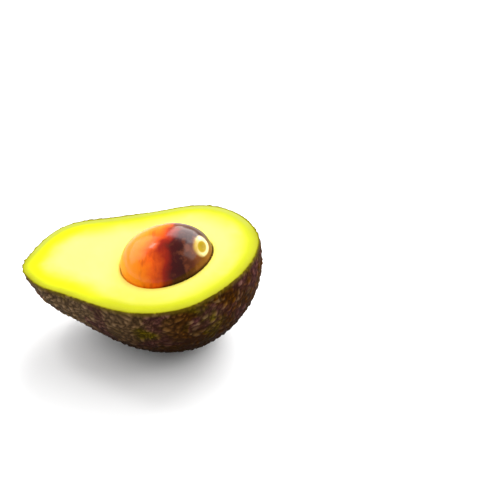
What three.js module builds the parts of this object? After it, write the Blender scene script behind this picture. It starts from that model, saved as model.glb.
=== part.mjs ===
// Half of a ripe avocado, cut lengthwise, with its seed left in.
// It lies on its skin with the cut face up, on a small flat spot pressed into the peel.
//
// Fruit frame: x runs from the neck tip to the blossom end, y lies in the cut face, square
// to it, and z is the cut face's normal, with the face itself at zero.
// Part frame: +X towards the blossom end, +Z up, and the origin on the surface that the
// fruit rests on, under the middle of the half. Everything is in millimetres.
import * as THREE from "three";

// Driving sizes
const fruitLength = 100;
const faceWidth = 70.8;        // the cut face at its widest, across the bulb
const halfDepth = 42.8;        // from the cut face to the deepest point of the bulb
const skinThickness = 1;
const fitGap = 0.3;            // from skin to flesh, and from flesh to seed
const seedLength = 38.8;
const seedWidth = 34.1;
const seedHeight = 32.5;
const seedRise = 13.9;         // how far the seed stands above the cut face
const seedOffset = -5.6;       // the seed's centre, in y
const seedTurn = THREE.MathUtils.degToRad(22.5);
const pitch = THREE.MathUtils.degToRad(7.6);   // the neck lies lower than the blossom end
const flatDepth = 1.5;         // how far the resting spot is pressed in

// Proportions, as shares of the fruit's length unless they say otherwise
const widestAt = 0.645;
const seedAt = 0.615;
const restAt = 0.52;           // middle of the resting spot
const deepFrom = 0.5;          // from here on the bulb is at its full depth ratio
const neckDepthRatio = 1.08;   // depth over half width, at the neck
const blossomSwell = 0.1;      // mm that the blossom end bulges out for each mm of depth
const swellFrom = 0.65;        // where that bulge starts
const waistPinch = 0.03;       // share of the width that the waist is drawn in
const tipPinch = 0.24;         // share of the width that the stem nub is drawn in
const blossomPower = 0.57;     // above 0.5, the blossom end is less blunt than an ellipse
const seedTaper = 0.11;        // share of the seed's width lost at its blossom end
const neckLean = 5.2;          // mm that the neck leans to one side
const bulbLean = 4.6;          // mm that the bulb leans to the other side
const bellyShift = 2;          // mm that the deepest part lies to one side of the middle line

// Mesh fineness
const aroundSteps = 56;
const wallSteps = 13;
const bowlSteps = 9;
const seedSteps = 20;

const quarterTurn = Math.PI / 2;
const halfWidth = faceWidth / 2;
const seedCentre = new THREE.Vector3(seedAt * fruitLength, seedOffset, 0);

// A smooth hill, 1 high at its centre and fading out over its spread.
function hill(share, centre, spread) {
  return Math.exp(-(((share - centre) / spread) ** 2));
}

// Half the width of the cut face: two half ovals that meet at the widest place, drawn in at
// the waist and again at the stem nub.
function halfWidthAt(share) {
  const onNeckSide = share < widestAt;
  const reach = onNeckSide ? widestAt : 1 - widestAt;
  const away = Math.abs(share - widestAt) / reach;
  const oval = Math.max(0, 1 - away * away) ** (onNeckSide ? 0.5 : blossomPower);
  const waist = 1 - waistPinch * hill(share, 0.3, 0.155);
  const nub = 1 - tipPinch * hill(share, 0, 0.06);
  return halfWidth * oval * waist * nub;
}

// The fruit's middle line leans one way at the neck and the other way at the bulb.
function leanAt(share) {
  return neckLean * hill(share, 0.15, 0.165) - bulbLean * hill(share, 0.58, 0.245);
}

// Depth over half width, growing smoothly from the neck to the bulb.
function depthRatioAt(share) {
  const growth = THREE.MathUtils.smoothstep(share, 0, deepFrom);
  return THREE.MathUtils.lerp(neckDepthRatio, halfDepth / halfWidth, growth);
}

// A point on the edge of the cut face. turn starts at the neck tip and runs once round,
// anticlockwise seen from above.
function edgePoint(turn) {
  const share = (1 - Math.cos(turn)) / 2;
  const side = -Math.sign(Math.sin(turn));
  return new THREE.Vector3(share * fruitLength, leanAt(share) + side * halfWidthAt(share), 0);
}

// The outside of the half, as it grew. Each section square to the fruit's length is half an
// ellipse, pushed a little sideways as it gets deeper, and outwards at the blossom end.
// climb goes from 0 over the resting spot to a quarter turn at the cut face's edge.
function outsidePoint(turn, climb) {
  const core = new THREE.Vector3(restAt * fruitLength, leanAt(restAt), 0);
  const point = core.lerp(edgePoint(turn), Math.sin(climb));
  const share = point.x / fruitLength;
  const wide = halfWidthAt(share);
  const offCentre = wide > 0 ? (point.y - leanAt(share)) / wide : 1;
  point.z = -depthRatioAt(share) * wide * Math.sqrt(Math.max(0, 1 - offCentre * offCentre));
  point.x -= blossomSwell * THREE.MathUtils.smoothstep(share, swellFrom, 1) * point.z;
  point.y -= bellyShift * (point.z / halfDepth);
  return point;
}

// The outward normal, from two short steps along the surface. At the edge of the cut face
// it lies in that face.
function outsideNormal(turn, climb) {
  if (climb === 0) return new THREE.Vector3(0, 0, -1);
  const step = 0.02;
  const ahead = outsidePoint(turn + step, climb);
  const round = ahead.sub(outsidePoint(turn - step, climb));
  const above = outsidePoint(turn, Math.min(climb + step, quarterTurn));
  const up = above.sub(outsidePoint(turn, climb - step));
  const normal = round.cross(up);
  if (climb >= quarterTurn) normal.setZ(0);
  return normal.normalize();
}

// How far the lowest point of the fruit hangs under its neck tip, once the fruit is tilted.
function dropBelowTip() {
  const stations = Array.from({ length: 201 }, (_, i) => i / 200);
  const drops = stations.map((share) => {
    const depth = depthRatioAt(share) * halfWidthAt(share);
    return depth * Math.cos(pitch) - share * fruitLength * Math.sin(pitch);
  });
  return Math.max(...drops);
}

const tipHeight = dropBelowTip() - flatDepth;

// Carries a point from the fruit frame to where the fruit lies, with its neck down.
function lay(point) {
  const x = point.x * Math.cos(pitch) - point.z * Math.sin(pitch);
  const z = point.x * Math.sin(pitch) + point.z * Math.cos(pitch) + tipHeight;
  return new THREE.Vector3(x, point.y, z);
}

// A point of the wall that lies a given depth inside the skin's outside. Under the fruit it
// is pressed flat, at that same depth above the surface that the fruit rests on.
function wallPoint(turn, climb, depth) {
  const normal = outsideNormal(turn, climb);
  const point = lay(outsidePoint(turn, climb).addScaledVector(normal, -depth));
  point.z = Math.max(point.z, depth);
  return point;
}

// The wall as a pole over the resting spot and rings up to the edge of the cut face.
function wall(depth) {
  const rings = [];
  for (let k = 1; k <= wallSteps; k += 1) {
    const climb = (k / wallSteps) * quarterTurn;
    rings.push(ringOf((turn) => wallPoint(turn, climb, depth)));
  }
  return { pole: wallPoint(0, 0, depth), rings };
}

// A point of the seed, or of the bowl that holds it when margin is above 0: an egg whose
// long axis is turned in the cut face, with its narrow end towards the blossom end. climb is
// 0 in the cut face, and the seed is flatter above the face than below it.
function seedPoint(bearing, climb, margin) {
  const along = Math.cos(bearing) * Math.cos(climb);
  const x = (seedLength / 2 + margin) * along;
  const narrowing = 1 - seedTaper * along;
  const y = (seedWidth / 2 + margin) * Math.sin(bearing) * Math.cos(climb) * narrowing;
  const halfHeight = climb > 0 ? seedRise : seedHeight - seedRise;
  const z = (halfHeight + margin) * Math.sin(climb);
  const up = new THREE.Vector3(0, 0, 1);
  return lay(new THREE.Vector3(x, y, z).applyAxisAngle(up, seedTurn).add(seedCentre));
}

// The bowl in the flesh, from its mouth in the cut face down to its lowest point. Its
// corners face those of the cut face's edge.
function bowl() {
  const rings = [];
  for (let k = 0; k < bowlSteps; k += 1) {
    const climb = -(k / bowlSteps) * quarterTurn;
    rings.push(ringOf((turn) => {
      const edge = edgePoint(turn).sub(seedCentre);
      return seedPoint(Math.atan2(edge.y, edge.x) - seedTurn, climb, fitGap);
    }));
  }
  return { pole: seedPoint(0, -quarterTurn, fitGap), rings };
}

// One ring of points, from a function of the angle round the fruit.
function ringOf(pointAt) {
  return Array.from({ length: aroundSteps }, (_, i) => pointAt((i / aroundSteps) * 2 * Math.PI));
}

// A closed surface that starts at one pole, runs through the rings and ends at another.
function closedSurface(firstPole, rings, lastPole) {
  const points = [firstPole, ...rings.flat(), lastPole];
  const last = points.length - 1;
  const at = (k, i) => 1 + k * aroundSteps + (i % aroundSteps);
  const faces = [];
  for (let i = 0; i < aroundSteps; i += 1) {
    faces.push(0, at(0, i + 1), at(0, i));
    for (let k = 0; k < rings.length - 1; k += 1) {
      faces.push(at(k, i), at(k, i + 1), at(k + 1, i + 1));
      faces.push(at(k, i), at(k + 1, i + 1), at(k + 1, i));
    }
    faces.push(at(rings.length - 1, i), at(rings.length - 1, i + 1), last);
  }
  const geometry = new THREE.BufferGeometry().setFromPoints(points);
  geometry.setIndex(faces);
  geometry.computeVertexNormals();
  return geometry;
}

// The leathery peel, open at the cut face.
function skinGeometry() {
  const outside = wall(0);
  const inside = wall(skinThickness);
  return closedSurface(outside.pole, [...outside.rings, ...inside.rings.reverse()], inside.pole);
}

// The flesh fills the peel, is flat on top and holds the seed in a bowl.
function fleshGeometry() {
  const outside = wall(skinThickness + fitGap);
  const hollow = bowl();
  return closedSurface(outside.pole, [...outside.rings, ...hollow.rings], hollow.pole);
}

function seedGeometry() {
  const rings = [];
  for (let k = 1; k < seedSteps; k += 1) {
    const climb = (k / seedSteps) * Math.PI - quarterTurn;
    rings.push(ringOf((bearing) => seedPoint(bearing, climb, 0)));
  }
  return closedSurface(seedPoint(0, -quarterTurn, 0), rings, seedPoint(0, quarterTurn, 0));
}

function piece(name, geometry, color, roughness) {
  const material = new THREE.MeshStandardMaterial({ color, roughness, metalness: 0 });
  const mesh = new THREE.Mesh(geometry, material);
  mesh.name = name;
  return mesh;
}

const avocado = new THREE.Group();
avocado.add(piece("skin", skinGeometry(), 0x4e3a26, 0.55));
avocado.add(piece("flesh", fleshGeometry(), 0xf4f08a, 0.5));
avocado.add(piece("seed", seedGeometry(), 0xa04a14, 0.25));

const middle = new THREE.Box3().setFromObject(avocado).getCenter(new THREE.Vector3());
avocado.position.set(-middle.x, -middle.y, 0);

export default avocado;
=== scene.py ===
# %% [markdown]
# # Half an avocado with its seed
# A ripe avocado was cut lengthwise, and this is the half that kept the seed. It lies on its
# skin with the cut face up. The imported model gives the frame: one body, and three plain
# solids for skin, flesh and seed. This lesson replaces each of them with a fine surface
# worked out with numpy, gives each its finish, and sets the light and the camera.

# %% Load the frame
import math

import bpy
import numpy as np
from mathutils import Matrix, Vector


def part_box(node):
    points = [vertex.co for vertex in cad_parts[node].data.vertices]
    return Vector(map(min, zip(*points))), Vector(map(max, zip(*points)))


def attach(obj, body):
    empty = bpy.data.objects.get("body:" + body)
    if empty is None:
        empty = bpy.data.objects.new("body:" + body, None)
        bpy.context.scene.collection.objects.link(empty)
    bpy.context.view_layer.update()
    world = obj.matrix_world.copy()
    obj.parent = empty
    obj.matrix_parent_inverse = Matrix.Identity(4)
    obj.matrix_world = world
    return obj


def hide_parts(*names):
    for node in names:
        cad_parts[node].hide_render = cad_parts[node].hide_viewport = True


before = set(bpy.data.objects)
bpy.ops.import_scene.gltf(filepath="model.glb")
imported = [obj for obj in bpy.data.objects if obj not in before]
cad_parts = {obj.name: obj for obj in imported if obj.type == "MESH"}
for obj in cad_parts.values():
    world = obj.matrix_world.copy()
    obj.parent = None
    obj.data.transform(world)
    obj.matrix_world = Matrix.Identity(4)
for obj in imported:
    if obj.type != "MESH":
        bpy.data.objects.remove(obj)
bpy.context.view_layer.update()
MM = 0.001

# %% [markdown]
# ## Sizes
# The fruit grows along a line from its neck tip to its blossom end, so a place along it is
# given as a share of that length. The sizes repeat those of the plain solids, because the
# fine surfaces have to lie on them. A hill is given by its centre and its spread.

# %% Sizes of the fruit
FRUIT_LENGTH = 100 * MM
HALF_WIDTH = 35.4 * MM
HALF_DEPTH = 42.8 * MM
SKIN_THICKNESS = 1 * MM
FLAT_DEPTH = 1.5 * MM          # how far the resting spot is pressed in
BELLY_SHIFT = 2 * MM           # the deepest part lies to one side of the middle line
NECK_LEAN = 5.2 * MM           # the middle line leans one way at the neck
BULB_LEAN = 4.6 * MM           # and the other way at the bulb
PITCH = math.radians(7.6)      # the neck lies lower than the blossom end
WIDEST_AT = 0.645
REST_AT = 0.52                 # middle of the resting spot
DEEP_FROM = 0.5                # from here on the bulb has its full depth ratio
SWELL_FROM = 0.65              # from here on the blossom end bulges out
NECK_DEPTH_RATIO = 1.08        # depth over half width, at the neck
BLOSSOM_SWELL = 0.1            # how far the bulge goes out, as a share of the depth there
WAIST_PINCH = 0.03             # share of the width that the waist is drawn in
TIP_PINCH = 0.24               # share of the width that the stem nub is drawn in
BLOSSOM_POWER = 0.57           # above 0.5, the blossom end is less blunt than an ellipse
WAIST = (0.3, 0.155)
STEM_NUB = (0, 0.06)
NECK_BEND = (0.15, 0.165)
BULB_BEND = (0.58, 0.245)
QUARTER = math.pi / 2
print("half, mm:", np.round(np.array([FRUIT_LENGTH, 2 * HALF_WIDTH, HALF_DEPTH]) / MM, 1))

# %% [markdown]
# ## The fruit's own shape
# A pear shape can be drawn by hand with a curve, but a formula can be asked for any point and
# any fineness. Here the cut face is two half ovals that meet at the widest place, its middle
# line leans one way at the neck and the other way at the bulb, and every section square to
# the length is half an ellipse.


# %% The outline of the cut face
def hill(share, centre, spread):
    """A smooth hill, 1 high: e to the minus square of the distance over the spread."""
    return np.exp(-(((share - centre) / spread) ** 2))


def smooth_step(value, low, high):
    """0 below low, 1 above high, and 3 x squared minus 2 x cubed in between."""
    x = np.clip((value - low) / (high - low), 0, 1)
    return x * x * (3 - 2 * x)


def half_width(share):
    """Half the cut face's width: an oval each side of the widest place, with a waist and a nub."""
    on_neck = share < WIDEST_AT
    away = np.abs(share - WIDEST_AT) / np.where(on_neck, WIDEST_AT, 1 - WIDEST_AT)
    oval = np.maximum(0, 1 - away**2) ** np.where(on_neck, 0.5, BLOSSOM_POWER)
    waist = 1 - WAIST_PINCH * hill(share, *WAIST)
    nub = 1 - TIP_PINCH * hill(share, *STEM_NUB)
    return HALF_WIDTH * oval * waist * nub


def lean(share):
    """The middle line's sideways place: one hill at the neck less another at the bulb."""
    return NECK_LEAN * hill(share, *NECK_BEND) - BULB_LEAN * hill(share, *BULB_BEND)


def cut_edge(turn):
    """The edge of the cut face. The share is (1 - cos turn) / 2, and turn goes once round."""
    share = (1 - np.cos(turn)) / 2
    y = lean(share) - np.sign(np.sin(turn)) * half_width(share)
    return np.stack([share * FRUIT_LENGTH, y, 0 * turn], -1)


fine_edge = cut_edge(np.linspace(0, 2 * math.pi, 2001))
print("cut face, mm:", np.round(np.ptp(fine_edge, axis=0)[:2] / MM, 1))


# %% The wall under the cut face
def unit(vectors):
    """Each vector divided by its length."""
    return vectors / np.maximum(np.linalg.norm(vectors, axis=-1, keepdims=True), 1e-12)


def depth_ratio(share):
    """Depth over half width, which grows from the neck's value to the bulb's."""
    growth = smooth_step(share, 0, DEEP_FROM)
    return NECK_DEPTH_RATIO + (HALF_DEPTH / HALF_WIDTH - NECK_DEPTH_RATIO) * growth


def outside(turn, climb):
    """The outside of the half. A plan point goes from the core to the edge by sin climb, and
    its depth is the depth ratio times the square root of half width squared less offset squared."""
    turn, climb = np.broadcast_arrays(turn, climb)
    core = np.array([REST_AT * FRUIT_LENGTH, lean(REST_AT), 0])
    point = core + np.sin(climb)[..., None] * (cut_edge(turn) - core)
    share = point[..., 0] / FRUIT_LENGTH
    offset = point[..., 1] - lean(share)
    depth = depth_ratio(share) * np.sqrt(np.maximum(0, half_width(share) ** 2 - offset**2))
    point[..., 2] = -depth
    point[..., 0] += BLOSSOM_SWELL * smooth_step(share, SWELL_FROM, 1) * depth
    point[..., 1] += BELLY_SHIFT * depth / HALF_DEPTH
    return point


def outward(turn, climb):
    """The outward normal: a short step round crossed with a short step up. On the edge of
    the cut face it lies in that face."""
    turn, climb = np.broadcast_arrays(turn, climb)
    step = 0.02
    safe = np.maximum(climb, 2 * step)
    around = outside(turn + step, safe) - outside(turn - step, safe)
    up = outside(turn, np.minimum(safe + step, QUARTER)) - outside(turn, safe - step)
    normal = np.cross(around, up)
    normal[..., 2] = np.where(climb >= QUARTER - 1e-9, 0, normal[..., 2])
    return unit(normal)


def inside(turn, climb):
    """The peel's inner surface: the outside less the skin's thickness along the normal."""
    return outside(turn, climb) - SKIN_THICKNESS * outward(turn, climb)


print("depth over the resting spot, mm:", np.round(-outside(0.0, 0.0)[2] / MM, 1))

# %% [markdown]
# ## Laying the fruit down
# The formulas speak of a fruit with a level cut face. The real half tips neck down until its
# belly meets the table, and its own weight presses a small spot flat. The objects could be
# turned, but each one has to sit unturned at the origin, so the points themselves are turned.
# The neck tip goes where the skin's box begins, so the fine surfaces land on the plain solids.


# %% From the fruit's axes to the frame's
def drop_below_tip():
    """The largest of depth times cos pitch less distance along times sin pitch."""
    share = np.linspace(0, 1, 401)
    depth = depth_ratio(share) * half_width(share)
    return np.max(depth * math.cos(PITCH) - share * FRUIT_LENGTH * math.sin(PITCH))


TIP = np.array([
    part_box("skin")[0].x,
    -(fine_edge[:, 1].min() + fine_edge[:, 1].max()) / 2,
    drop_below_tip() - FLAT_DEPTH,
])
LAID_X = np.array([math.cos(PITCH), 0, math.sin(PITCH)])
LAID_Y = np.array([0, 1, 0])
LAID_Z = np.array([-math.sin(PITCH), 0, math.cos(PITCH)])


def lay(points):
    """Places in the fruit's axes, given in the frame's: a sum of the three laid axes, moved
    to the neck tip."""
    return points @ np.stack([LAID_X, LAID_Y, LAID_Z]) + TIP


def press(points, floor):
    """Whatever would sink below the floor is pressed up to it."""
    pressed = points.copy()
    pressed[..., 2] = np.maximum(pressed[..., 2], floor)
    return pressed


def resting_pole(height):
    """The middle of the resting spot, at a height above the floor."""
    return press(lay(outside(0.0, 0.0)), 0) + np.array([0, 0, height])


print("neck tip, mm:", np.round(TIP / MM, 2))

# %% [markdown]
# ## Natural unevenness
# Nothing on a fruit is even, so two kinds of noise shape it. Smooth noise blends random values
# from the corners of a grid of cubes. Pebble noise scatters one centre in each cube and gives
# each point its nearest and second nearest centre: where the two are equally far lies a crease.
# Both mix whole numbers into a random value, so they give the same fruit each time.

# %% Noise
AXIS_MIXERS = np.array([374761393, 668265263, 1440662683])
SALT_MIXER = 974634777
ROUNDS = ((13, 1274126177), (15, 2246822519))      # a shift and a multiplier for each round
LOW_32_BITS = 0xFFFFFFFF
LOW_24_BITS = 0xFFFFFF


def mixed(cells, salt):
    """A repeatable random value from 0 to 1 for each cell: its three whole numbers, each
    multiplied by a large one, are added up and stirred by shifts and further products."""
    n = (cells.astype(np.int64) * AXIS_MIXERS).sum(axis=-1)
    n = (n + salt * SALT_MIXER) & LOW_32_BITS
    for shift, multiplier in ROUNDS:
        n = ((n ^ (n >> shift)) * multiplier) & LOW_32_BITS
    return ((n ^ (n >> 16)) & LOW_24_BITS) / (LOW_24_BITS + 1)


def smooth_noise(points, size, salt):
    """Values from 0 to 1: the eight corners of each cube, weighted by smooth steps."""
    scaled = points / size
    base = np.floor(scaled)
    part = smooth_step(scaled - base, 0, 1)
    total = np.zeros(points.shape[:-1])
    for corner in np.ndindex(2, 2, 2):
        weight = np.prod(np.where(corner, part, 1 - part), axis=-1)
        total += weight * mixed(base + corner, salt)
    return total


def warp(points, size, amount, salt):
    """Moves points by smooth noise in each axis, so that a pattern read there is irregular."""
    shifts = [smooth_noise(points, size, salt + k) - 0.5 for k in range(3)]
    return points + 2 * amount * np.stack(shifts, -1)


def pebble_noise(points, size, salt):
    """(nearest, second, tone): distances to the two nearest scattered centres, in cells, and
    a random value that is the same all over each pebble."""
    scaled = points / size
    base = np.floor(scaled)
    nearest = np.full(points.shape[:-1], np.inf)
    second = nearest.copy()
    tone = np.zeros_like(nearest)
    for neighbour in np.ndindex(3, 3, 3):
        cell = base + neighbour - 1
        centre = cell + np.stack([mixed(cell, salt + k) for k in range(3)], -1)
        away = np.linalg.norm(scaled - centre, axis=-1)
        closer = away < nearest
        second = np.where(closer, nearest, np.minimum(second, away))
        tone = np.where(closer, mixed(cell, salt + 3), tone)
        nearest = np.minimum(nearest, away)
    return nearest, second, tone


edge_noise = smooth_noise(fine_edge, 10 * MM, 0)
print("noise along the edge:", round(edge_noise.min(), 2), "to", round(edge_noise.max(), 2))

# %% [markdown]
# ## From rings to a mesh
# Each piece is a stack of rings between two poles. Adding the faces one by one would be slow,
# so the corner numbers are worked out as whole arrays. Values that a finish needs, such as how
# high a point lies on its pebble, ride along as named attributes.


# %% Mesh building
def once_round(steps):
    """Evenly spaced angles once round, as one row."""
    return np.linspace(0, 2 * math.pi, steps, endpoint=False)[None, :]


def faces_between(rings, last_pole):
    """(corners, sides): four corners for each face between two rings, and three for each face
    of the fans at the poles. Point 0 is the first pole, and the rings' points follow it."""
    count, around = rings.shape[:2]
    here = 1 + np.arange(count * around).reshape(count, around)
    ahead = np.roll(here, -1, axis=1)
    quads = np.stack([here[:-1], ahead[:-1], ahead[1:], here[1:]], -1)
    first_fan = np.stack([0 * here[0], ahead[0], here[0]], -1)
    last_fan = np.stack([here[-1], ahead[-1], 0 * here[-1] + last_pole], -1)
    corners = np.concatenate([quads.ravel(), first_fan.ravel(), last_fan.ravel()])
    sides = np.concatenate([np.full(quads.size // 4, 4), np.full(2 * around, 3)])
    return corners, sides


def with_poles(rings):
    """A value for each point in order: each pole has that of the ring next to it."""
    return np.concatenate([rings[0, :1], rings.ravel(), rings[-1, :1]])


def closed_mesh(name, first_pole, rings, last_pole, **attributes):
    """A closed surface from one pole through the rings to the other. Each attribute holds one
    value for each point of the rings."""
    points = np.concatenate([[first_pole], rings.reshape(-1, 3), [last_pole]])
    corners, sides = faces_between(rings, len(points) - 1)
    mesh = bpy.data.meshes.new(name)
    mesh.vertices.add(len(points))
    mesh.vertices.foreach_set("co", points.ravel())
    mesh.loops.add(len(corners))
    mesh.loops.foreach_set("vertex_index", corners)
    mesh.polygons.add(len(sides))
    mesh.polygons.foreach_set("loop_start", np.cumsum(sides) - sides)
    mesh.polygons.foreach_set("use_smooth", np.ones(len(sides), bool))
    mesh.update(calc_edges=True)
    for key, values in attributes.items():
        layer = mesh.attributes.new(key, "FLOAT", "POINT")
        layer.data.foreach_set("value", with_poles(values).astype(np.float32))
    piece = bpy.data.objects.new(name, mesh)
    bpy.context.collection.objects.link(piece)
    print(name, "triangles:", (sides - 2).sum())
    return piece


def stand_in(piece, node):
    """Puts a piece in the place of the plain solid: it rides and replaces it."""
    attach(piece, "root")
    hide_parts(node)


# %% [markdown]
# ## Pebbles of the skin
# The peel is covered with pebbles of two sizes on a slow swell. They could be left to a bump
# in the finish, but they show on the silhouette and along the cut, so they are real height
# here: a dome on each scattered centre with a crease between. The points are warped before
# the pebbles are read, which gives them uneven outlines.

# %% Pebbles
PEBBLE_SIZE = 2.9 * MM
SMALL_PEBBLE_SIZE = 1.5 * MM
PEBBLE_HEIGHT = 0.62 * MM
SMALL_PEBBLE_HEIGHT = 0.22 * MM
SWELL_SIZE = 14 * MM
SWELL_HEIGHT = 0.7 * MM
WARPS = ((7 * MM, 2 * MM, 11), (2 * MM, 0.7 * MM, 14))      # size, amount and salt
CREASE_WIDTH = 0.6             # the crease ends where the distances differ by this, in cells
DOME_FALL = 0.55               # how much a pebble falls off, one cell from its centre
DOME_SPREAD = 0.35             # share of the height by which the pebbles differ


def dome(points, size, salt):
    """(height, tone): a rounded top on each pebble, which falls off from its centre, down to a
    crease where the second centre is as near as the nearest."""
    nearest, second, tone = pebble_noise(points, size, salt)
    crease = smooth_step(second - nearest, 0, CREASE_WIDTH)
    return crease * (1 - DOME_FALL * nearest) * (1 - DOME_SPREAD * (1 - tone)), tone


def pebbles(points):
    """(height, large, small, tone): the height in metres about zero, the heights of the large
    and small domes from 0 to 1, and the large pebble's tone."""
    bent = points
    for size, amount, salt in WARPS:
        bent = warp(bent, size, amount, salt)
    large, tone = dome(bent, PEBBLE_SIZE, 1)
    small, _ = dome(bent, SMALL_PEBBLE_SIZE, 5)
    swell = smooth_noise(points, SWELL_SIZE, 8) - 0.5
    height = PEBBLE_HEIGHT * (large - 0.5) + SMALL_PEBBLE_HEIGHT * (small - 0.5)
    return height + SWELL_HEIGHT * swell, large, small, tone


edge_height = pebbles(fine_edge)[0]
print("pebbles along the edge, mm:", np.round([edge_height.min() / MM, edge_height.max() / MM], 2))

# %% [markdown]
# ## Skin
# The peel is a leathery wall about a millimetre thick, open at the cut. A single sheet with a
# Solidify modifier would do, but its edge would be square and plain. So the rings go up the
# pebbled outside, over a narrow cut edge that has its own rings, and down the smooth inside.

# %% Peel
SKIN_AROUND = 640
SKIN_CLIMBS = 116
INNER_RINGS = 11
RIM_STEP = 0.003               # angle between the last two outer rings
RIM_AT = np.array([0.06, 0.5, 0.94])      # the rings on the cut edge, as shares of its width


def over_peel(outer):
    """A value on all rings of the peel: that of the last outer ring again on the cut edge,
    and 0 on the hidden inside."""
    rim = np.repeat(outer[-1:], len(RIM_AT), axis=0)
    return np.concatenate([outer, rim, np.zeros((INNER_RINGS, SKIN_AROUND))])


def make_skin():
    """Outer rings up to the cut, a narrow cut edge, and inner rings back down."""
    turn = once_round(SKIN_AROUND)
    climb = np.linspace(0, QUARTER, SKIN_CLIMBS)[1:-1]
    climb = np.append(climb, [QUARTER - RIM_STEP, QUARTER])[:, None]
    smooth = outside(turn, climb)
    height, large, small, tone = pebbles(smooth)
    outer = press(lay(smooth + outward(turn, climb) * height[..., None]), 0)
    rim_at = RIM_AT[:, None, None]
    rim = outer[-1] * (1 - rim_at) + lay(inside(turn[0], QUARTER)) * rim_at
    inner_climb = np.linspace(QUARTER, 0, INNER_RINGS + 1)[:-1, None]
    inner = press(lay(inside(turn, inner_climb)), SKIN_THICKNESS)
    below = np.concatenate([np.zeros(len(outer)), RIM_AT, np.ones(INNER_RINGS)])
    return closed_mesh(
        "avocado_skin",
        resting_pole(0), np.concatenate([outer, rim, inner]), resting_pole(SKIN_THICKNESS),
        pebble=over_peel(large),
        grain=over_peel(small),
        tone=over_peel(tone),
        deep=over_peel(-smooth[..., 2] / MM),
        below=np.repeat(below[:, None], SKIN_AROUND, axis=1),
    )


skin = make_skin()
stand_in(skin, "skin")

# %% [markdown]
# ## Shape of the seed
# The seed is an egg that lies in the cut face, flatter above it than below. A scaled sphere
# would be close, but the egg narrows towards one end and has two different heights, so it is
# a formula too. The same formula with a margin gives the bowl that holds it.

# %% Egg
SEED_LENGTH = 38.8 * MM
SEED_WIDTH = 34.1 * MM
SEED_HEIGHT = 32.5 * MM
SEED_RISE = 13.9 * MM          # how far it stands above the cut face
SEED_TAPER = 0.11              # share of the width lost at its blossom end
SEED_TURN = math.radians(22.5)
SEED_CENTRE = np.array([0.615 * FRUIT_LENGTH, -5.6 * MM, 0])


def egg(bearing, climb, margin):
    """An ellipsoid that narrows towards the blossom end, turned in the cut face. The margin
    is added to each half axis, and the upper half axis differs from the lower one."""
    bearing, climb = np.broadcast_arrays(bearing, climb)
    along = np.cos(bearing) * np.cos(climb)
    x = (SEED_LENGTH / 2 + margin) * along
    y = (SEED_WIDTH / 2 + margin) * np.sin(bearing) * np.cos(climb) * (1 - SEED_TAPER * along)
    half_height = np.where(climb > 0, SEED_RISE, SEED_HEIGHT - SEED_RISE)
    z = (half_height + margin) * np.sin(climb)
    turned_x = x * math.cos(SEED_TURN) - y * math.sin(SEED_TURN)
    turned_y = x * math.sin(SEED_TURN) + y * math.cos(SEED_TURN)
    return np.stack([turned_x, turned_y, z], -1) + SEED_CENTRE


print("top of the seed, mm:", np.round(lay(egg(0.0, QUARTER, 0)) / MM, 1))

# %% [markdown]
# ## Dents and scar
# The seed's coat is smooth with faint dents, and one side carries the round scar where it hung
# on to the fruit: a raised ring with a shallow pit. The dents come from smooth noise, and the
# scar from the distance to its middle, which the finish reads again for its colours.

# %% Seed
SEED_AROUND = 480
SEED_CLIMBS = 150
DENT_SIZE = 11 * MM
DENT_DEPTH = 0.4 * MM
FINE_DENT_SIZE = 4 * MM
FINE_DENT_DEPTH = 0.16 * MM
SCAR_BEARING = math.radians(-40)
SCAR_CLIMB = math.radians(29)
SCAR_RADIUS = 4.9 * MM
SCAR_SQUASH = 1.3              # how many times wider than high the scar is
SCAR_WOBBLE = 0.3              # share of the radius by which its outline wanders
SCAR_HEIGHT = 0.22 * MM
SCAR_RING = (0.78, 0.26)       # hills over the distance from the middle, in scar radii
SCAR_PIT = (0, 0.45)
PIT_DEPTH = 1.3                # over the ring's height


def scar_distance(points):
    """How many scar radii a point lies from the scar's middle, with heights stretched by the
    squash and the outline made uneven by noise."""
    apart = (points - egg(SCAR_BEARING, SCAR_CLIMB, 0)) * np.array([1, 1, SCAR_SQUASH])
    uneven = 1 + SCAR_WOBBLE * (smooth_noise(points, 4 * MM, 23) - 0.5)
    return uneven * np.linalg.norm(apart, axis=-1) / SCAR_RADIUS


def coat_height(points, scar):
    """Height over the egg: dents of two sizes, and a hill for the scar's ring less one for
    its pit."""
    dents = DENT_DEPTH * (smooth_noise(points, DENT_SIZE, 21) - 0.6)
    dents += FINE_DENT_DEPTH * (smooth_noise(points, FINE_DENT_SIZE, 22) - 0.5)
    return dents + SCAR_HEIGHT * (hill(scar, *SCAR_RING) - PIT_DEPTH * hill(scar, *SCAR_PIT))


def make_seed():
    """Rings from the bottom of the egg to its top, pushed in or out from its centre."""
    climb = np.linspace(-QUARTER, QUARTER, SEED_CLIMBS + 2)[1:-1, None]
    smooth = egg(once_round(SEED_AROUND), climb, 0)
    scar = scar_distance(smooth)
    height = coat_height(smooth, scar)
    rings = lay(smooth + unit(smooth - SEED_CENTRE) * height[..., None])
    return closed_mesh(
        "avocado_seed", lay(egg(0.0, -QUARTER, 0)), rings, lay(egg(0.0, QUARTER, 0)),
        scar=scar,
        rise=smooth[..., 2] / MM,
    )


seed = make_seed()
stand_in(seed, "seed")

# %% [markdown]
# ## Flesh
# The flesh fills the peel and is flat where the knife went through. Its visible face runs from
# the peel to the mouth of the bowl, so its rings are blended between those two outlines. Near
# the seed the flesh swells into a soft lip, and the knife leaves it very slightly wavy. The
# distances to the peel and to the seed are kept for the finish, which colours by them.

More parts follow.
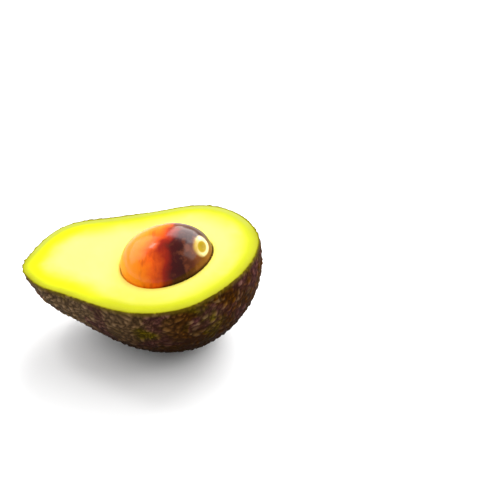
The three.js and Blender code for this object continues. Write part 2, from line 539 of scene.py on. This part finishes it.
# %% Cut face and bowl
FLESH_WALL_RINGS = 24
FACE_RINGS = 80
BOWL_RINGS = 16
FIRST_BLEND = 0.004            # the face's first ring lies this share of the way in
BOWL_MARGIN = 0.2 * MM
LIP_HEIGHT = 0.45 * MM
LIP_WIDTH = 2.2 * MM
LIP_ROLL = 0.5 * MM            # the lip rounds off this close to the seed
WAVE_SIZE = 16 * MM
WAVE_HEIGHT = 0.35 * MM
LEVEL_RIM = 3 * MM             # lip and waves fade out this close to the peel
FAR = 20 * MM                  # a distance that no band of colour reaches


def bowl(turn, climb):
    """The bowl's wall: the egg with a margin, at the bearing that faces the cut edge's turn."""
    edge = cut_edge(turn) - SEED_CENTRE
    bearing = np.arctan2(edge[..., 1], edge[..., 0]) - SEED_TURN
    return egg(bearing, climb, BOWL_MARGIN)


def nearest_distance(points, outline):
    """For each point, the smallest distance to any point of an outline, ring by ring."""
    def ring_distance(ring):
        return np.linalg.norm(ring[:, None, :] - outline[None, :, :], axis=-1).min(axis=1)

    return np.array([ring_distance(ring) for ring in points])


def cut_face(edge, mouth):
    """(rings, from_peel, from_seed): rings blended from edge to mouth. They rise by the lip,
    which is e to the minus distance from the seed over its width, and by smooth waves."""
    blend = np.append([FIRST_BLEND], np.linspace(0, 1, FACE_RINGS)[1:])[:, None, None]
    face = edge * (1 - blend) + mouth * blend
    from_peel = nearest_distance(face, edge)
    from_seed = nearest_distance(face, mouth)
    lip = LIP_HEIGHT * np.exp(-from_seed / LIP_WIDTH) * smooth_step(from_seed, 0, LIP_ROLL)
    waves = WAVE_HEIGHT * (smooth_noise(face, WAVE_SIZE, 31) - 0.5)
    face[..., 2] += smooth_step(from_peel, 0, LEVEL_RIM) * (lip + waves)
    return face, from_peel, from_seed


def make_flesh():
    """Rings up the peel's inside, across the cut face to the bowl's mouth, and down the bowl."""
    turn = once_round(SKIN_AROUND)
    wall = inside(turn, np.linspace(0, QUARTER, FLESH_WALL_RINGS + 1)[1:, None])
    hollow = bowl(turn, np.linspace(0, -QUARTER, BOWL_RINGS + 1)[1:-1, None])
    face, from_peel, from_seed = cut_face(wall[-1], bowl(turn, 0.0)[0])
    far_wall = np.full(wall.shape[:2], FAR)
    far_bowl = np.full(hollow.shape[:2], FAR)
    return closed_mesh(
        "avocado_flesh",
        resting_pole(SKIN_THICKNESS),
        np.concatenate([press(lay(wall), SKIN_THICKNESS), lay(face), lay(hollow)]),
        lay(egg(0.0, -QUARTER, BOWL_MARGIN)),
        from_peel=np.concatenate([0 * far_wall, from_peel, far_bowl]) / MM,
        from_seed=np.concatenate([far_wall, from_seed, 0 * far_bowl]) / MM,
    )


flesh = make_flesh()
stand_in(flesh, "flesh")

# %% [markdown]
# ## Tools for the finishes
# A finish is a small tree of shader nodes. The nodes could be wired by hand in the editor, but
# helpers keep the tree readable as text: one adds a node with its settings and links, and the
# others name what a few nodes do together, such as a colour ramp or a product of masks.


# %% Node helpers
def add(tree, kind, inputs=None, **settings):
    """Adds a node. Settings are its own properties; inputs are values, or sockets to link."""
    made = tree.nodes.new(kind)
    for key, value in settings.items():
        setattr(made, key, value)
    for key, value in (inputs or {}).items():
        if isinstance(value, bpy.types.NodeSocket):
            tree.links.new(value, made.inputs[key])
        else:
            made.inputs[key].default_value = value
    return made


def place_on(tree):
    """Object coordinates, in metres."""
    return add(tree, "ShaderNodeTexCoord").outputs["Object"]


def axes_of(tree, place):
    """The X, Y and Z of a place."""
    return add(tree, "ShaderNodeSeparateXYZ", {0: place}).outputs


def attribute(tree, name):
    """The value of one of the mesh's named attributes."""
    return add(tree, "ShaderNodeAttribute", attribute_name=name).outputs["Fac"]


def math_node(tree, operation, first, second):
    """One sum, product or other simple operation on two values."""
    return add(tree, "ShaderNodeMath", {0: first, 1: second}, operation=operation).outputs[0]


def product(tree, first, *others):
    """All the values multiplied together."""
    for value in others:
        first = math_node(tree, "MULTIPLY", first, value)
    return first


def spread(tree, value, low, high):
    """A value from 0 to 1 as the input goes from low to high."""
    inputs = {"Value": value, "From Min": low, "From Max": high}
    return add(tree, "ShaderNodeMapRange", inputs, interpolation_type="SMOOTHSTEP").outputs[0]


def wander(tree, place, amount, inputs):
    """Noise about zero that goes from minus to plus half the amount."""
    noise = add(tree, "ShaderNodeTexNoise", {"Vector": place, **inputs}).outputs[0]
    return product(tree, math_node(tree, "SUBTRACT", noise, 0.5), amount)


# %% [markdown]
# ## Colours
# Colours that follow a value come from a ramp, and every further shade is laid over the colour
# so far by a mask. A mask is a number from 0 to 1 that changes over the surface, so several
# masks multiplied together leave a shade only where all of them are high.


# %% Colour helpers
def ramp(tree, value, stops):
    """A colour ramp from a list of (position, (red, green, blue)) stops."""
    made = add(tree, "ShaderNodeValToRGB", {0: value})
    elements = made.color_ramp.elements
    while len(elements) < len(stops):
        elements.new(0.5)
    for element, (position, colour) in zip(elements, stops):
        element.position = position
        element.color = (*colour, 1)
    return made.outputs[0]


def with_alpha(colour):
    """A socket as it is, or three numbers with an alpha of 1."""
    return (*colour, 1) if isinstance(colour, tuple) else colour


def mix(tree, mask, first, second):
    """The first colour turning into the second as the mask goes from 0 to 1. This node keeps
    its two colours at inputs 6 and 7, after those for other kinds of values."""
    inputs = {0: mask, 6: with_alpha(first), 7: with_alpha(second)}
    return add(tree, "ShaderNodeMix", inputs, data_type="RGBA").outputs[2]


def tint(tree, colour, shade, strength, *masks):
    """The colour turned towards a shade, by all the masks times the strength."""
    return mix(tree, product(tree, *masks, strength), colour, shade)


# %% [markdown]
# ## Shared effects
# Two effects serve more than one finish, so each is built once as a node group with its own
# inputs: soft patches of a second colour, and a fine grain that feeds a bump. Each finish
# places the group and gives it its own size and sharpness.


# %% Shared groups
def new_group(name, inputs, output):
    """An empty node group with number inputs, given with their defaults, and one output."""
    group = bpy.data.node_groups.new(name, "ShaderNodeTree")
    for key, value in inputs.items():
        socket = group.interface.new_socket(key, in_out="INPUT", socket_type="NodeSocketFloat")
        socket.default_value = value
    group.interface.new_socket(output, in_out="OUTPUT", socket_type="NodeSocketFloat")
    return group, add(group, "NodeGroupInput").outputs


def patches_group():
    """Soft patches: noise of a given size, stretched so that low to high becomes 0 to 1."""
    group, given = new_group("soft patches", {"Scale": 100, "Low": 0.4, "High": 0.6}, "Mask")
    inputs = {"Vector": place_on(group), "Scale": given["Scale"], "Detail": 3.0}
    noise = add(group, "ShaderNodeTexNoise", inputs).outputs[0]
    add(group, "NodeGroupOutput", {"Mask": spread(group, noise, given["Low"], given["High"])})
    return group


def grain_group():
    """A fine grain: noise of a given size plus a third of the same at a third of the size."""
    group, given = new_group("fine grain", {"Scale": 800}, "Height")
    place = place_on(group)
    coarse = add(group, "ShaderNodeTexNoise", {"Vector": place, "Scale": given["Scale"]})
    finer = product(group, given["Scale"], 3.0)
    fine = add(group, "ShaderNodeTexNoise", {"Vector": place, "Scale": finer})
    third = product(group, fine.outputs[0], 0.33)
    add(group, "NodeGroupOutput", {"Height": math_node(group, "ADD", coarse.outputs[0], third)})
    return group


SOFT_PATCHES = patches_group()
FINE_GRAIN = grain_group()
print("groups:", SOFT_PATCHES.name, "and", FINE_GRAIN.name)


# %% Putting a finish together
def add_group(tree, group, inputs):
    """Places a shared group in a finish, with its inputs set to plain numbers."""
    made = add(tree, "ShaderNodeGroup", node_tree=group)
    for key, value in inputs.items():
        made.inputs[key].default_value = value
    return made


def patches(tree, scale, low, high):
    """The soft patches mask in a finish, with its own size and sharpness."""
    inputs = {"Scale": scale, "Low": low, "High": high}
    return add_group(tree, SOFT_PATCHES, inputs).outputs["Mask"]


def grain_bump(tree, scale, distance, strength):
    """A normal bent by the fine grain."""
    height = add_group(tree, FINE_GRAIN, {"Scale": scale}).outputs["Height"]
    inputs = {"Height": height, "Distance": distance, "Strength": strength}
    return add(tree, "ShaderNodeBump", inputs).outputs[0]


def new_finish(name):
    """A material with its node tree and its principled shader."""
    material = bpy.data.materials.new(name)
    material.use_nodes = True
    return material, material.node_tree, material.node_tree.nodes["Principled BSDF"]


def set_shader(tree, shader, linked, **constants):
    """Links what changes over the surface, and sets the numbers that stay the same."""
    for key, socket in linked.items():
        tree.links.new(socket, shader.inputs[key])
    for key, value in constants.items():
        shader.inputs[key.replace("_", " ")].default_value = value


def wear(piece, material):
    """Gives a piece its finish."""
    piece.data.materials.append(material)
    print(piece.name, "wears", material.name, "with", len(material.node_tree.nodes), "nodes")


# %% [markdown]
# ## Colours of the skin
# The skin is brown on its pebbles and nearly black in the creases: partly its own darker
# creases, partly painted shade there. It is lighter and greyer at the neck, partly as a painted
# sheen, and warmer at the bulb. Patches of olive and of purple lie over it, and a few pebbles
# are pale. A picture wrapped round the fruit would stretch, so each colour is a ramp over how
# high a point lies on its pebble, and follows the real bumps.

# %% Skin colours
# Each ramp is near black at CREASE: partly the skin's own tone, partly painted crease shade.
CREASE, SLOPE, TOP = 0.0, 0.3, 0.7      # how high on the pebble each colour lies
# Lighter and greyer than the bulb: partly the skin's own tone, partly a painted sheen.
NECK_BROWN_AND_SHEEN = [
    (CREASE, (0.036, 0.021, 0.010)),
    (SLOPE, (0.125, 0.078, 0.040)),
    (TOP, (0.29, 0.19, 0.11)),
]
BULB_BROWN = [
    (CREASE, (0.014, 0.004, 0.0005)),
    (SLOPE, (0.055, 0.018, 0.001)),
    (TOP, (0.125, 0.050, 0.003)),
]
OLIVE = [
    (CREASE, (0.018, 0.012, 0.0005)),
    (SLOPE, (0.075, 0.052, 0.002)),
    (TOP, (0.16, 0.115, 0.005)),
]
PURPLE = [
    (CREASE, (0.020, 0.004, 0.005)),
    (SLOPE, (0.085, 0.030, 0.030)),
    (TOP, (0.18, 0.085, 0.075)),
]
PALE_PEBBLE = [
    (CREASE, (0.02, 0.01, 0.002)),
    (TOP, (0.20, 0.13, 0.06)),
]


def pebble_level(tree):
    """How high a point lies: 0.65 of the large pebble's height plus 0.35 of the small one's."""
    large = product(tree, attribute(tree, "pebble"), 0.65)
    small = product(tree, attribute(tree, "grain"), 0.35)
    return math_node(tree, "ADD", large, small)


def pebble_colour(tree):
    """Neck brown, partly a painted sheen, turning into bulb brown, then olive and purple patches,
    then pale pebbles.
    """
    level = pebble_level(tree)
    along = axes_of(tree, place_on(tree))["X"]
    towards_bulb = spread(tree, along, -25 * MM, 25 * MM)
    colour = mix(tree, towards_bulb, ramp(tree, level, NECK_BROWN_AND_SHEEN), ramp(tree, level, BULB_BROWN))
    colour = mix(tree, patches(tree, 60, 0.53, 0.68), colour, ramp(tree, level, OLIVE))
    colour = tint(tree, colour, ramp(tree, level, PURPLE), 0.8, patches(tree, 85, 0.49, 0.64))
    single = spread(tree, attribute(tree, "tone"), 0.75, 0.95)
    return tint(tree, colour, ramp(tree, level, PALE_PEBBLE), 0.45, single)


# %% [markdown]
# ## Finish of the skin
# Close to the cut the peel is olive, and painted shade darkens it the deeper it lies. The narrow
# cut edge turns from brown through olive to green towards the flesh. The whole peel is leathery
# and dull, so it reflects very little, and the grain gives it a last bit of roughness.

# %% Skin finish
PEEL_EDGE = [
    (0.0, (0.12, 0.09, 0.004)),
    (0.4, (0.17, 0.15, 0.004)),
    (1.0, (0.34, 0.35, 0.01)),
]
NEAR_CUT_OLIVE = (0.120, 0.085, 0.004)
# Painted shade for the deep underside.
PAINTED_UNDERSIDE_SHADE = (0.012, 0.004, 0.001)


def skin_finish():
    """The pebbles' colour, tinted olive near the cut and darkened by painted shade with the depth
    in millimetres below the cut, and another ramp on the cut edge itself."""
    material, tree, shader = new_finish("ripe pebbled skin")
    colour = pebble_colour(tree)
    deep = attribute(tree, "deep")
    colour = tint(tree, colour, NEAR_CUT_OLIVE, 0.65, spread(tree, deep, 2.8, 0.0))
    # Painted shade: darker the deeper the peel lies below the cut.
    colour = tint(tree, colour, PAINTED_UNDERSIDE_SHADE, 0.93, spread(tree, deep, 8.0, 32.0))
    below = attribute(tree, "below")
    colour = mix(tree, spread(tree, below, 0.0, 0.08), colour, ramp(tree, below, PEEL_EDGE))
    linked = {"Base Color": colour, "Normal": grain_bump(tree, 2200, 0.15 * MM, 0.5)}
    set_shader(tree, shader, linked, Roughness=0.5, Specular_IOR_Level=0.006,
               Specular_Tint=(0.75, 0.55, 0.35, 1))
    return material


wear(skin, skin_finish())

# %% [markdown]
# ## Finish of the flesh
# Cut flesh is green under the peel, then a strong yellow-green, and pale butter yellow inside.
# At the neck the strong band is wider, at the seed the flesh is warmer, and the rim that faces
# away is paler. It is moist and lets light in, so it has some scattering under the surface.
# The distances from the peel and from the seed place the bands evenly round the outline.

# %% Flesh finish
BAND_DEPTH = 14                # mm from the peel to where the flesh is palest
FLESH_BANDS = [
    (0.0, (0.32, 0.32, 0.010)),
    (0.04, (0.36, 0.36, 0.010)),
    (0.14, (0.41, 0.43, 0.009)),
    (0.26, (0.46, 0.48, 0.010)),
    (0.38, (0.52, 0.53, 0.030)),
    (0.50, (0.60, 0.60, 0.055)),
    (0.66, (0.72, 0.71, 0.085)),
    (1.0, (0.84, 0.82, 0.16)),
]
NECK_GREEN = (0.59, 0.64, 0.001)
SEED_SIDE_YELLOW = (0.88, 0.60, 0.08)
BUTTER = (0.88, 0.85, 0.23)
FAR_RIM_GREEN = (0.39, 0.42, 0.06)


def band_place(tree, place, along):
    """How far in from the peel a band lies, in mm: the distance, a little more in the bulb's
    inner part, with a slow wander."""
    from_peel = attribute(tree, "from_peel")
    inner = product(tree, spread(tree, from_peel, 2, 8), spread(tree, along, -40 * MM, 20 * MM))
    inwards = math_node(tree, "ADD", from_peel, product(tree, inner, 1.2))
    return math_node(tree, "ADD", inwards, wander(tree, place, 2.0, {"Scale": 90.0}))


def flesh_finish():
    """A ramp over the band's place, tinted at the neck, at the seed, inside and at the rim."""
    material, tree, shader = new_finish("moist cut flesh")
    place = place_on(tree)
    axes = axes_of(tree, place)
    inwards = band_place(tree, place, axes["X"])
    colour = ramp(tree, product(tree, inwards, 1 / BAND_DEPTH), FLESH_BANDS)
    colour = tint(tree, colour, NECK_GREEN, 0.94, spread(tree, axes["X"], -8 * MM, -30 * MM),
                  spread(tree, inwards, 11.0, 5.0), spread(tree, inwards, 0.5, 4.5))
    at_seed = spread(tree, attribute(tree, "from_seed"), 2.5, 0.0)
    colour = tint(tree, colour, SEED_SIDE_YELLOW, 0.6, at_seed)
    colour = tint(tree, colour, BUTTER, 0.4,
                  patches(tree, 45, 0.45, 0.7), spread(tree, inwards, 4, 10))
    at_peel = spread(tree, attribute(tree, "from_peel"), 2.8, 0.8)
    colour = tint(tree, colour, FAR_RIM_GREEN, 0.85,
                  at_peel, spread(tree, axes["Y"], 8 * MM, 22 * MM))
    linked = {"Base Color": colour, "Normal": grain_bump(tree, 900, 0.12 * MM, 0.25)}
    set_shader(tree, shader, linked, Roughness=0.45, Specular_IOR_Level=0.04,
               Subsurface_Weight=0.15, Subsurface_Radius=(1.0, 0.8, 0.1),
               Subsurface_Scale=1.5 * MM)
    return material


wear(flesh, flesh_finish())

# %% [markdown]
# ## Colours of the seed's coat
# The coat runs from bright orange on one side, through red, to nearly black on the other:
# partly the coat's own colours, partly painted light, with the orange side brightened as
# painted light and the nearly black side darkened as painted shade. A plain gradient would have
# a straight boundary, and the real one bends and wanders, so the place across the coat is bent
# by the square of the distance from a line and stirred by noise. Veins and streaks lie over
# the ramp, with a painted dark reflection on the far side and a dark line at the flesh that is
# partly the coat's own brown and partly painted contact shade.

# %% Coat colours
BEND_LINE = -10 * MM           # the dark side reaches furthest over the seed at this Y
BEND = 38.0                    # how fast it falls back on both sides, for each metre
BEND_MOST = 8 * MM
BOUNDARY_WANDER = 9 * MM
ACROSS_PER_METRE = 27.8
ACROSS_AT_MIDDLE = 0.57
VEIN_SCALE = (420, 120, 160)   # for each metre, so the veins are narrow in X
# Partly the coat's own colours, partly painted light: the bright orange end is painted light and
# the nearly black end painted shade.
COAT_WITH_PAINTED_LIGHT = [
    (0.0, (0.85, 0.30, 0.02)),
    (0.26, (0.98, 0.23, 0.001)),
    (0.40, (0.82, 0.10, 0.001)),
    (0.51, (0.30, 0.012, 0.001)),
    (0.63, (0.05, 0.001, 0.001)),
    (0.76, (0.03, 0.002, 0.001)),
    (0.86, (0.10, 0.020, 0.004)),
    (1.0, (0.25, 0.08, 0.010)),
]
VEIN_RED = (0.38, 0.035, 0.001)
STREAK_BROWN = (0.24, 0.06, 0.02)
# Painted dark reflection on the coat's far side.
PAINTED_DARK_REFLECTION = (0.07, 0.022, 0.003)
# Partly the coat's own darker brown, partly painted contact shade where the seed meets the flesh.
BROWN_AND_CONTACT_SHADE = (0.03, 0.012, 0.002)


def across_coat(tree, axes, stirred):
    """From 0 on the bright side to 1 on the dark side: X less the bend, which is the square of
    the distance from the bend line times a factor, plus the noise, scaled about the middle."""
    off_line = math_node(tree, "SUBTRACT", axes["Y"], BEND_LINE)
    bend = product(tree, math_node(tree, "POWER", off_line, 2.0), BEND)
    bend = math_node(tree, "MINIMUM", bend, BEND_MOST)
    along = math_node(tree, "ADD", math_node(tree, "SUBTRACT", axes["X"], bend), stirred)
    return math_node(tree, "ADD", product(tree, along, ACROSS_PER_METRE), ACROSS_AT_MIDDLE)


def vein_mask(tree, place):
    """Noise read from places stretched most in X, with only its upper part kept."""
    stretched = add(tree, "ShaderNodeMapping", {"Vector": place, "Scale": VEIN_SCALE}).outputs[0]
    inputs = {"Vector": stretched, "Scale": 1.0, "Detail": 2.0}
    return spread(tree, add(tree, "ShaderNodeTexNoise", inputs).outputs[0], 0.5, 0.7)


def coat_colour(tree, place, axes, across):
    """The ramp across the coat with its painted light and shade, with veins, streaks, a painted
    dark reflection on the far side, and a dark line at the flesh, partly painted contact shade.
    """
    colour = ramp(tree, across, COAT_WITH_PAINTED_LIGHT)
    colour = tint(tree, colour, VEIN_RED, 0.4, vein_mask(tree, place),
                  spread(tree, across, 0.12, 0.35), spread(tree, across, 0.62, 0.48))
    colour = tint(tree, colour, STREAK_BROWN, 0.35,
                  patches(tree, 300, 0.5, 0.66), spread(tree, across, 0.5, 0.85))
    # Painted dark reflection towards the far side of the seed.
    colour = tint(tree, colour, PAINTED_DARK_REFLECTION, 0.8,
                  spread(tree, axes["Y"], 0.5 * MM, 5 * MM), spread(tree, across, 0.36, 0.5))
    # Partly painted contact shade: darker just above the flesh.
    return tint(tree, colour, BROWN_AND_CONTACT_SHADE, 0.8,
                spread(tree, attribute(tree, "rise"), 1.8, 0.2), spread(tree, across, 0.35, 0.6))


# %% [markdown]
# ## Finish of the seed
# The scar is an olive middle inside a ring that is cream on the side towards the right and
# back lights: partly pale scar tissue, partly a painted highlight. The coat itself is wet and
# glossy: a dull surface under a thin clear layer, which is what the shader's own coat is for. A
# Mapping node centres the pattern on the seed, because the object itself sits at the origin.

# %% Seed finish
SCAR = [
    (0.0, (0.34, 0.22, 0.002)),
    (0.42, (0.38, 0.25, 0.003)),
    (0.62, (0.48, 0.31, 0.02)),
    (0.80, (0.50, 0.32, 0.03)),
    (1.0, (0.30, 0.12, 0.01)),
]
# Partly the scar's pale tissue, partly a painted highlight.
SCAR_CREAM_AND_HIGHLIGHT = (0.88, 0.74, 0.36)


def scar_colour(tree, scar, axes, stirred):
    """A ramp over the distance from the scar's middle, with cream on the ring where X plus 0.4
    of Y plus the noise is high, towards the right and back lights: partly pale scar tissue,
    partly a painted highlight."""
    slanted = math_node(tree, "ADD", axes["X"], product(tree, axes["Y"], 0.4))
    slanted = math_node(tree, "ADD", slanted, stirred)
    # Where the ring faces the right and back lights: partly pale tissue, partly painted highlight.
    cream_and_highlight = product(tree, spread(tree, scar, 0.52, 0.68),
                    spread(tree, slanted, 9.5 * MM, 13.5 * MM))
    return mix(tree, cream_and_highlight, ramp(tree, scar, SCAR), SCAR_CREAM_AND_HIGHLIGHT)


def seed_finish():
    """The coat's colour, with the scar's laid over it inside the scar's radius."""
    material, tree, shader = new_finish("glossy seed coat")
    place = place_on(tree)
    to_middle = {"Vector": place, "Location": Vector(-lay(SEED_CENTRE))}
    axes = axes_of(tree, add(tree, "ShaderNodeMapping", to_middle).outputs[0])
    stirred = wander(tree, place, BOUNDARY_WANDER, {"Scale": 150.0, "Detail": 3.0})
    colour = coat_colour(tree, place, axes, across_coat(tree, axes, stirred))
    scar = attribute(tree, "scar")
    ring = scar_colour(tree, scar, axes, stirred)
    colour = mix(tree, spread(tree, scar, 1.1, 0.85), colour, ring)
    linked = {"Base Color": colour, "Normal": grain_bump(tree, 1500, 0.05 * MM, 0.3)}
    set_shader(tree, shader, linked, Roughness=0.36, Specular_IOR_Level=0.01,
               Coat_Weight=0.42, Coat_Roughness=0.16)
    return material


wear(seed, seed_finish())

# %% [markdown]
# ## Floor and light
# The fruit lies on plain white. Three large soft panels light it, two from behind and one
# from the right, which leaves a soft shadow towards the viewer, and a small light at the top
# left puts a clear highlight on the wet seed. An even white world fills the dark side.

# %% Floor and light
FLOOR_SIZE = 6
FLOOR_GAP = 0.05 * MM          # below the fruit, so that the two surfaces do not fight
LIT_POINT = Vector((0, 0, 30 * MM))


def floor_plane():
    """A plain white floor just under the fruit."""
    bpy.ops.mesh.primitive_plane_add(size=FLOOR_SIZE, location=(0, 0, -FLOOR_GAP))
    floor = bpy.context.object
    floor.name = "floor"
    material, tree, shader = new_finish("white floor")
    set_shader(tree, shader, {}, Base_Color=(0.88, 0.88, 0.88, 1), Roughness=0.9)
    wear(floor, material)


def aimed(item, name, place, direction):
    """Puts a light or camera in the scene at a place, looking in a direction."""
    holder = bpy.data.objects.new(name, item)
    holder.location = place
    holder.rotation_euler = direction.to_track_quat("-Z", "Y").to_euler()
    bpy.context.collection.objects.link(holder)
    return holder


def panel(name, place, width, height, power):
    """A soft panel that faces the fruit."""
    light = bpy.data.lights.new(name, "AREA")
    light.shape = "RECTANGLE"
    light.size = width
    light.size_y = height
    light.energy = power
    aimed(light, name, place, LIT_POINT - Vector(place))


floor_plane()
panel("back left panel", (-0.95, 0.60, 0.75), 1.3, 1.1, 12)
panel("back right panel", (0.48, 0.95, 0.74), 1.1, 1.0, 25)
panel("right panel", (1.15, 0.10, 0.95), 1.1, 1.0, 12)
panel("top light", (-0.46, 0.40, 1.0), 0.26, 0.14, 1.8)
world = bpy.data.worlds.new("world")
world.use_nodes = True
world.node_tree.nodes["Background"].inputs["Color"].default_value = (1, 1, 1, 1)
world.node_tree.nodes["Background"].inputs["Strength"].default_value = 0.64
bpy.context.scene.world = world
print("lights:", [light.name for light in bpy.data.lights])

# %% [markdown]
# ## Camera
# The camera is a long lens, which keeps the outline free of strong perspective. It looks down
# at about 37 degrees, from the front and slightly to the left. It aims behind the fruit and
# to its right, which puts the fruit at the lower left of the view.


# %% Camera
def camera_at(aim, distance, azimuth, elevation, lens):
    """A camera on a sphere round its aim. Azimuth 0 looks along +Y."""
    back = Vector((math.sin(azimuth) * math.cos(elevation),
                   -math.cos(azimuth) * math.cos(elevation), math.sin(elevation)))
    data = bpy.data.cameras.new("camera")
    data.lens = lens
    camera = aimed(data, "camera", Vector(aim) + back * distance, -back)
    bpy.context.scene.camera = camera
    print("camera place, m:", [round(part, 3) for part in camera.location])


camera_at(
    aim=(46.1 * MM, 25.3 * MM, 25 * MM), distance=604.7 * MM,
    azimuth=math.radians(-1.8), elevation=math.radians(36.76), lens=100.4,
)
bpy.context.scene.view_settings.view_transform = "Standard"
